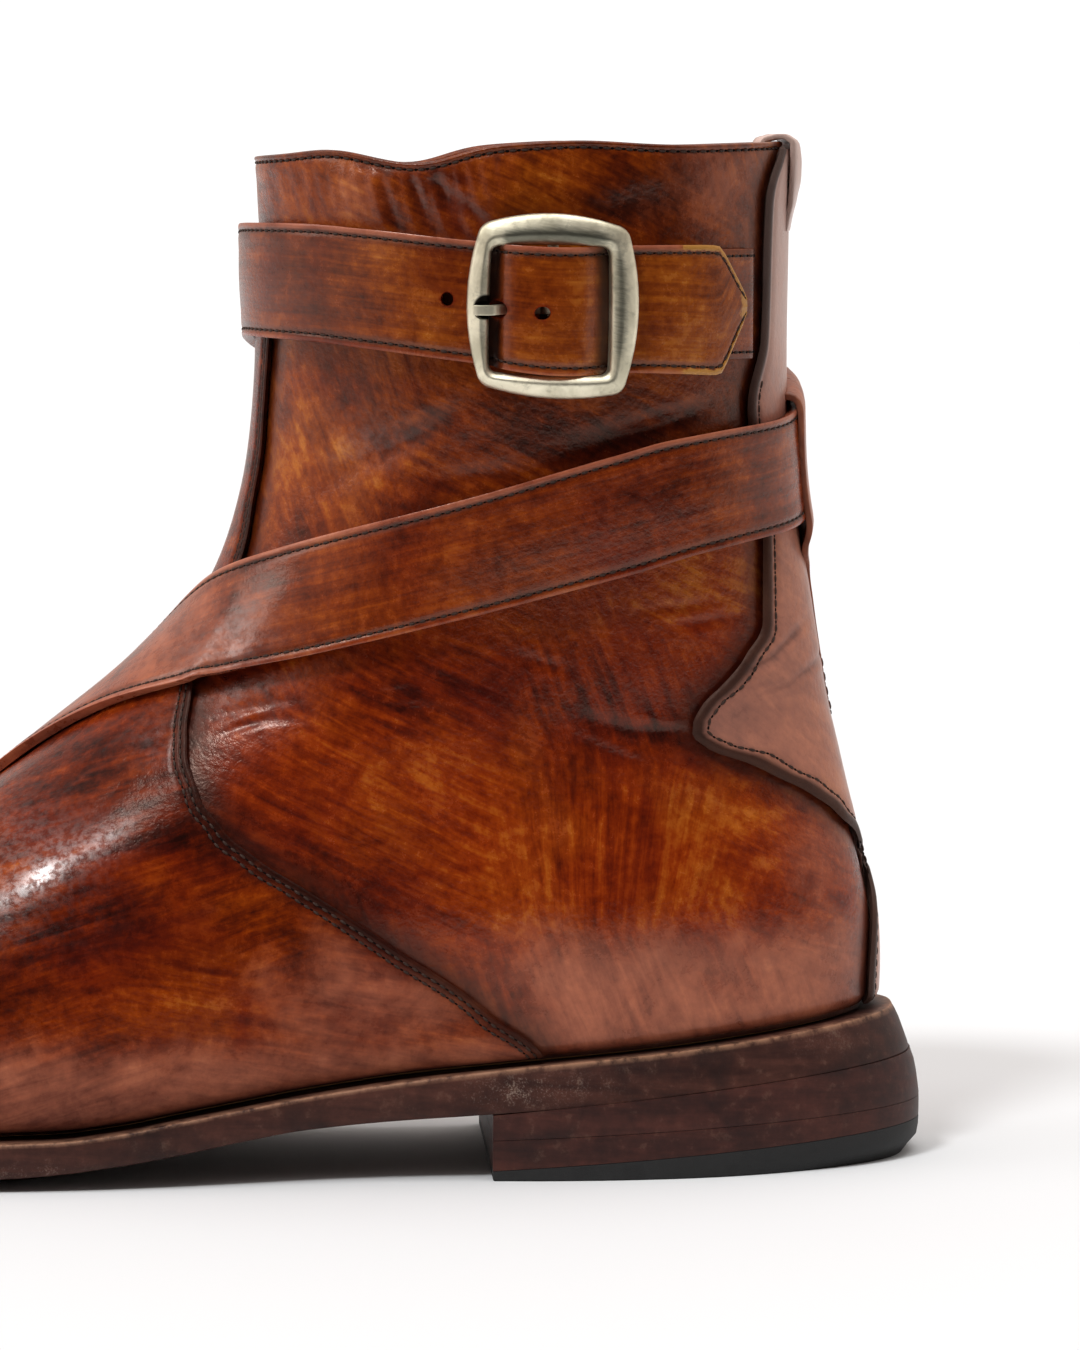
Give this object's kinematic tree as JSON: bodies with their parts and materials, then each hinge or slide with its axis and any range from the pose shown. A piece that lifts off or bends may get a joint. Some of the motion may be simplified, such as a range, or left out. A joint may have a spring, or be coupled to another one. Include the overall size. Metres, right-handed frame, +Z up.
{
  "type": "buckle ankle boot",
  "caption": "Left leather ankle boot on a leather sole and low stacked heel, with a long strap wrapped over the instep and round the ankle to a side buckle.",
  "frame": {"origin": "centre of the footprint's box, on the floor under the sole", "axes": "+X to the heel, -X to the toe, -Y to the outer (buckle) side, +Z up"},
  "size_m": [0.3028, 0.098, 0.198],
  "materials": {
    "upper_leather": "polished hand-dyed calf, brown to maroon",
    "front_leather": "polished hand-dyed calf, dark maroon",
    "strap_leather": "polished hand-dyed strap leather",
    "edge_leather": "dark waxed sole edge",
    "heel_leather": "dark waxed stacked leather",
    "heel_rubber": "matt black rubber",
    "insole_leather": "natural lining leather",
    "old_silver": "worn antique silver"
  },
  "bodies": {
    "root": {"outsole": "edge_leather", "heel_lift_1": "heel_leather", "heel_lift_2": "heel_leather", "top_lift": "heel_rubber", "insole": "insole_leather", "upper": "upper_leather", "front_piece": "front_leather", "back_stay": "upper_leather", "wrap_strap": "strap_leather", "buckle_chape": "strap_leather", "buckle_frame": "old_silver", "buckle_prong": "old_silver", "strap_keeper": "strap_leather", "pull_loop": "upper_leather"}
  },
  "joints": []
}
